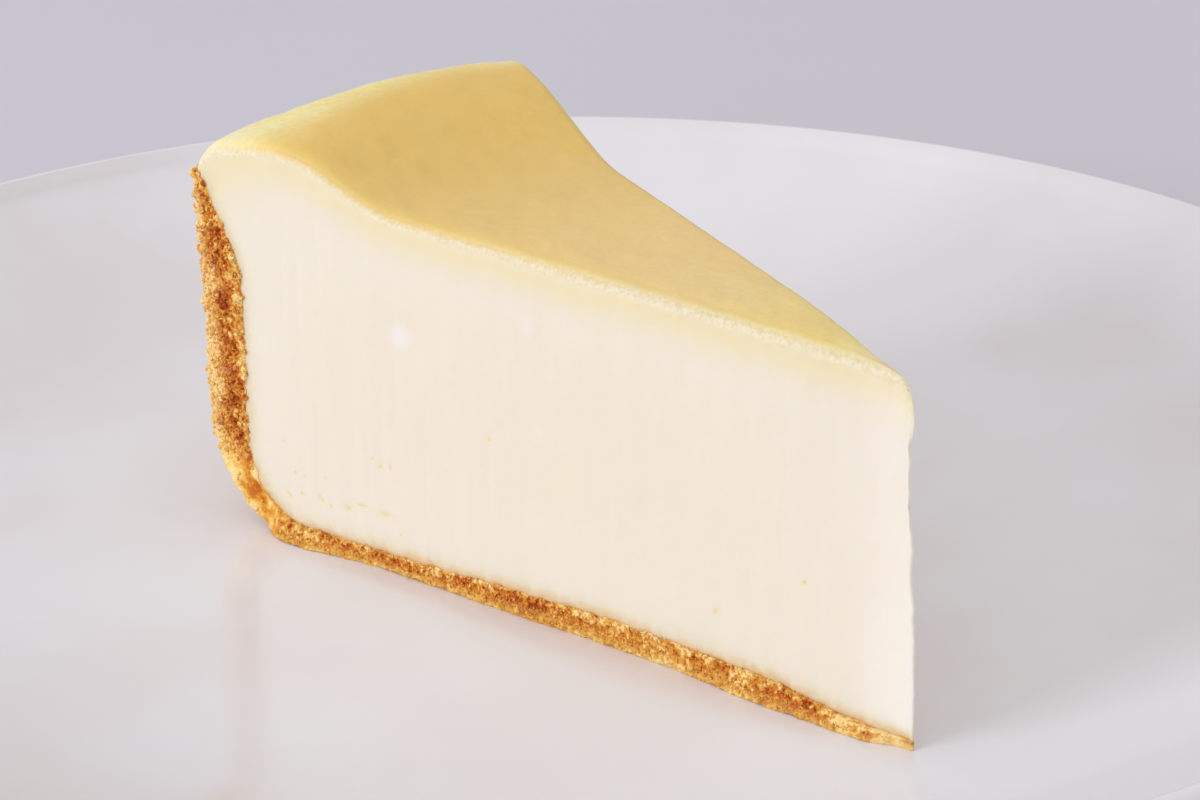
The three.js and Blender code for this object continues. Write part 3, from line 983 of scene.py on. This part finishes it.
def cut_colours(cream, below, wobble, cloud, grain, speck):
    """The cuts' colour and how near a pit is. By depth it goes from yellow to ivory. Then come a yellowish
    margin, haze and a brown seam along the crust, a whiter tip, white spots, faint drag marks, painted
    shade in the pits, golden round each and darker at its core, and flecks along the top."""
    from_tip, height, cut_r = cream.mark("from_tip"), cream.mark("height"), cream.mark("cut_r")
    off_crust, white = cream.mark("off_crust"), cream.mark("white")
    colour = cream.ramp(
        (below + wobble) * (1 / 10),
        [
            (0.00, paint(228, 213, 166)),
            (0.05, paint(233, 219, 180)),
            (0.10, paint(233, 219, 183)),
            (0.15, paint(235, 222, 187)),
            (0.24, paint(236, 221, 178)),
            (0.36, paint(235, 222, 185)),
            (0.50, paint(235, 223, 196)),
            (0.80, paint(235, 225, 205)),
        ],
    )
    middle = height.between(6, 22) * (1 - height.between(34, 46)) * from_tip.between(8, 40)
    middle = middle * (1 - from_tip.between(84, 104))
    colour = cream.blended(middle * below.between(4, 10) * 0.6, colour, paint(235, 221, 196))
    margin = (1 - off_crust.between(0, 3.2)) * (0.2 + speck * 0.8)
    colour = cream.blended(margin, colour, paint(227, 215, 176))
    haze = 1 - (off_crust + (cloud - 0.5) * 1.6 + (grain - 0.5) * 1.2).between(-0.2, 1.7)
    haze = haze * (1 - height.between(8, 16) * 0.5)
    colour = cream.blended(haze * 0.75, colour, paint(230, 184, 116))
    seam = 1 - (off_crust + (speck - 0.5) * 0.9).between(-0.3, 0.2)
    colour = cream.blended(seam, colour, paint(208, 140, 62))
    by_tip = (1 - from_tip.between(1, 11)) * (0.8 - height.between(4, 26) * 0.4)
    by_tip = by_tip * off_crust.between(0.4, 2.5) * below.between(0.5, 4)
    colour = cream.blended(by_tip, colour, paint(243, 236, 224))
    white = (white + (cloud - 0.5) * 0.5 + (grain - 0.5) * 0.3).between(0.1, 1.0)
    colour = cream.blended(white * 0.8, colour, paint(238, 232, 226))
    upright_place = cream.node("ShaderNodeCombineXYZ", {}, {0: cut_r * MM, 1: height * (MM / 9)})
    dragged = cream.noise(3.0, 2.0, upright_place).between(0.35, 0.65) * below.between(3, 8)
    colour = cream.blended(dragged * 0.1, colour, paint(244, 236, 216))
    pits = pit_nearness(cream, cut_r, height)
    # Painted shade in the pits: a yellow tinge in and round each, and a darker gold core.
    painted_pit_shade = (1 - pits.between(0.2, 3.4)) * (0.25 + speck.between(0.4, 0.62) * 0.5)
    colour = cream.blended(painted_pit_shade, colour, paint(238, 222, 168))
    colour = cream.blended((1 - pits.between(0.0, 1.0)) * 0.3, colour, paint(214, 176, 96))
    flecked = cream.noise(0.5, 3.0).between(0.36, 0.64)
    flecks = cream.blended(flecked, paint(240, 236, 214), paint(217, 197, 146))
    return cream.blended(bell_shaped(below, 0.3, 1.8) * 0.4, colour, flecks), pits


def skin_colours(cream, below, wobble, cloud, grain):
    """The baked skin's colour: golden from the rim to a paler tip, paler partly by its own colour and
    partly by a painted sheen; mottled, pale and blotchy on the rim, creamy where the rim meets the cuts,
    and a greener gold along its edges, partly the baked edge's own colour and partly painted shade."""
    from_tip, rim = cream.mark("from_tip"), cream.mark("rim")
    # The ramp pales towards the tip partly by the skin's own colour and partly as a painted sheen.
    golden = cream.ramp(
        from_tip * (1 / 120),
        [
            (0.033, paint(251, 235, 197)),
            (0.067, paint(252, 235, 186)),
            (0.087, paint(252, 234, 158)),
            (0.125, paint(251, 224, 137)),
            (0.183, paint(251, 224, 141)),
            (0.267, paint(250, 220, 149)),
            (0.400, paint(250, 216, 143)),
            (0.500, paint(247, 212, 134)),
            (0.600, paint(240, 204, 120)),
            (0.800, paint(242, 202, 103)),
        ],
    )
    mottled = cream.noise(0.7, 3.0).between(0.3, 0.7)
    golden = cream.blended(mottled * 0.2, golden, paint(228, 188, 100))
    golden = cream.blended(cloud.between(0.3, 0.7) * 0.4, golden, paint(242, 208, 122))
    blotches = cream.noise(1.0, 3.0).between(0.3, 0.7)
    pale = cream.blended(blotches, paint(254, 240, 174), paint(251, 226, 136))
    colour = cream.blended(rim, golden, pale)
    creamy = from_tip.between(104, 108.5) * (below + wobble * 2).between(-9, -1)
    colour = cream.blended(creamy * 0.6, colour, paint(252, 238, 200))
    # The greener gold edge is partly the baked edge's own colour and partly painted shade over the lit
    # fillet.
    edge = bell_shaped(below + (grain - 0.5) * 0.8, -0.85, 1.3) * (1 - rim * 0.6)
    return cream.blended(edge * 0.5, colour, paint(214, 192, 112))


def filling_finish():
    """Moist cream: the skin's colours where it is baked and the cuts' elsewhere, and the fine relief of
    leather on the skin, of pits, and of grains along the line under the skin."""
    cream = Finish(
        "baked_cream_cheese",
        IOR=1.42,
        Subsurface_Weight=0.5,
        Subsurface_Radius=(1.0, 0.75, 0.45),
        Subsurface_Scale=2.0 * MM,
    )
    below = cream.mark("below")
    cloud, grain, speck = cream.noise(7, 3.0), cream.noise(0.8, 2.0), cream.noise(0.32, 2.0)
    wobble = (cloud - 0.5) * 1.8 + (grain - 0.5) * 0.9
    cut_colour, pits = cut_colours(cream, below, wobble, cloud, grain, speck)
    skin_colour = skin_colours(cream, below, wobble, cloud, grain)
    sheared = below + wobble * 0.3 + (speck - 0.5) * 0.9 - cream.mark("from_tip").between(30, 90) * 0.9
    leather = cream.bumps(cream.noise(1.5, 3.0), 0.25, 0.12)
    fine = cream.bumps(cream.noise(0.45, 2.0), 0.18, 0.05, leather)
    line = bell_shaped(below + wobble * 0.4, 0.7, 1.1)
    grainy = cream.bumps(speck * line, 0.5, 0.25, fine)
    cream.feed(
        cream.shader,
        {
            "Base Color": cream.blended(sheared.between(-1.6, 0.5), skin_colour, cut_colour),
            "Roughness": 0.5 + below.between(-0.6, 0.6) * 0.1 + (grain - 0.5) * 0.1,
            "Normal": cream.bumps(pits.between(0.3, 1.6), 0.4, 0.2, grainy),
        },
    )
    return cream.material


filling_points, filling_quads, filling_marks = filling_shape()
filling = surface("cream_filling", filling_points, [filling_quads], filling_marks)
fitted(filling, filling_finish(), "filling", "filling")


# What the slice stands in: a plain pale table top, one large soft light at the left before it, cool and
# low enough to throw the slice's shadow across the plate, and pale light from all round.
FLOOR_HALF = 6000.0
FLOOR_COLOUR = (212, 208, 214)
SKY = (233, 231, 236)
SKY_STRENGTH = 0.895
KEY_AROUND = np.radians(8.0)
KEY_ABOVE = np.radians(19.0)
KEY_DISTANCE = 1500.0
KEY_WIDTH = 700.0
KEY_HEIGHT = 420.0
KEY_WATTS = 10.2
KEY_COLOUR = (0.94, 1.0, 1.13)


def floor_finish():
    """A pale matt table top with faint clouding."""
    table = Finish("pale_table", IOR=1.45)
    cloud = table.noise(120, 3.0)
    colour = table.blended(cloud, paint(*FLOOR_COLOUR), paint(*(part + 5 for part in FLOOR_COLOUR)))
    table.feed(table.shader, {"Base Color": colour, "Roughness": 0.55})
    return table.material


corner = FLOOR_HALF * np.array([(-1, -1, 0), (1, -1, 0), (1, 1, 0), (-1, 1, 0)], float)
floor = surface("table_top", corner, [np.array([[0, 1, 2, 3]])], {})
floor.data.materials.append(floor_finish())

world = bpy.data.worlds.new("soft_room")
world.use_nodes = True
background = world.node_tree.nodes["Background"]
background.inputs["Color"].default_value = paint(*SKY)
background.inputs["Strength"].default_value = SKY_STRENGTH
bpy.context.scene.world = world

flat_way = np.cos(KEY_ABOVE)
towards = Vector((-np.sin(KEY_AROUND) * flat_way, -np.cos(KEY_AROUND) * flat_way, np.sin(KEY_ABOVE)))
key = bpy.data.lights.new("large_softbox", "AREA")
key.shape = "RECTANGLE"
key.size = KEY_WIDTH * MM
key.size_y = KEY_HEIGHT * MM
key.energy = KEY_WATTS
key.color = KEY_COLOUR
softbox = bpy.data.objects.new("large_softbox", key)
softbox.matrix_world = Matrix.Translation(towards * KEY_DISTANCE * MM) @ (
    towards.to_track_quat("Z", "Y").to_matrix().to_4x4()
)
bpy.context.scene.collection.objects.link(softbox)

# The camera: a long lens close to the slice, looking down on it past its tip, as in the photograph.
CAMERA_FROM = Vector((301.5, -232.75, 177.3))
CAMERA_RIGHT = Vector((0.6284, 0.7779, 0.0)).normalized()
CAMERA_DOWN_ANGLE = np.radians(22.0)
CAMERA_ROLL = np.radians(-0.345)
LENS = 90.0
FILM_WIDTH = 36.0

ahead = Vector((-CAMERA_RIGHT.y, CAMERA_RIGHT.x, 0)) * np.cos(CAMERA_DOWN_ANGLE)
ahead.z = -np.sin(CAMERA_DOWN_ANGLE)
upright = CAMERA_RIGHT.cross(ahead)
across_picture = CAMERA_RIGHT * np.cos(CAMERA_ROLL) + upright * np.sin(CAMERA_ROLL)
up_picture = upright * np.cos(CAMERA_ROLL) - CAMERA_RIGHT * np.sin(CAMERA_ROLL)
lens = bpy.data.cameras.new("camera")
lens.lens = LENS
lens.sensor_width = FILM_WIDTH
lens.clip_start = 0.01
lens.clip_end = 50.0
camera = bpy.data.objects.new("camera", lens)
camera.matrix_world = Matrix.Translation(CAMERA_FROM * MM) @ Matrix(
    (across_picture, up_picture, -ahead)
).transposed().to_4x4()
bpy.context.scene.collection.objects.link(camera)
bpy.context.scene.camera = camera
bpy.context.scene.view_settings.view_transform = "Standard"
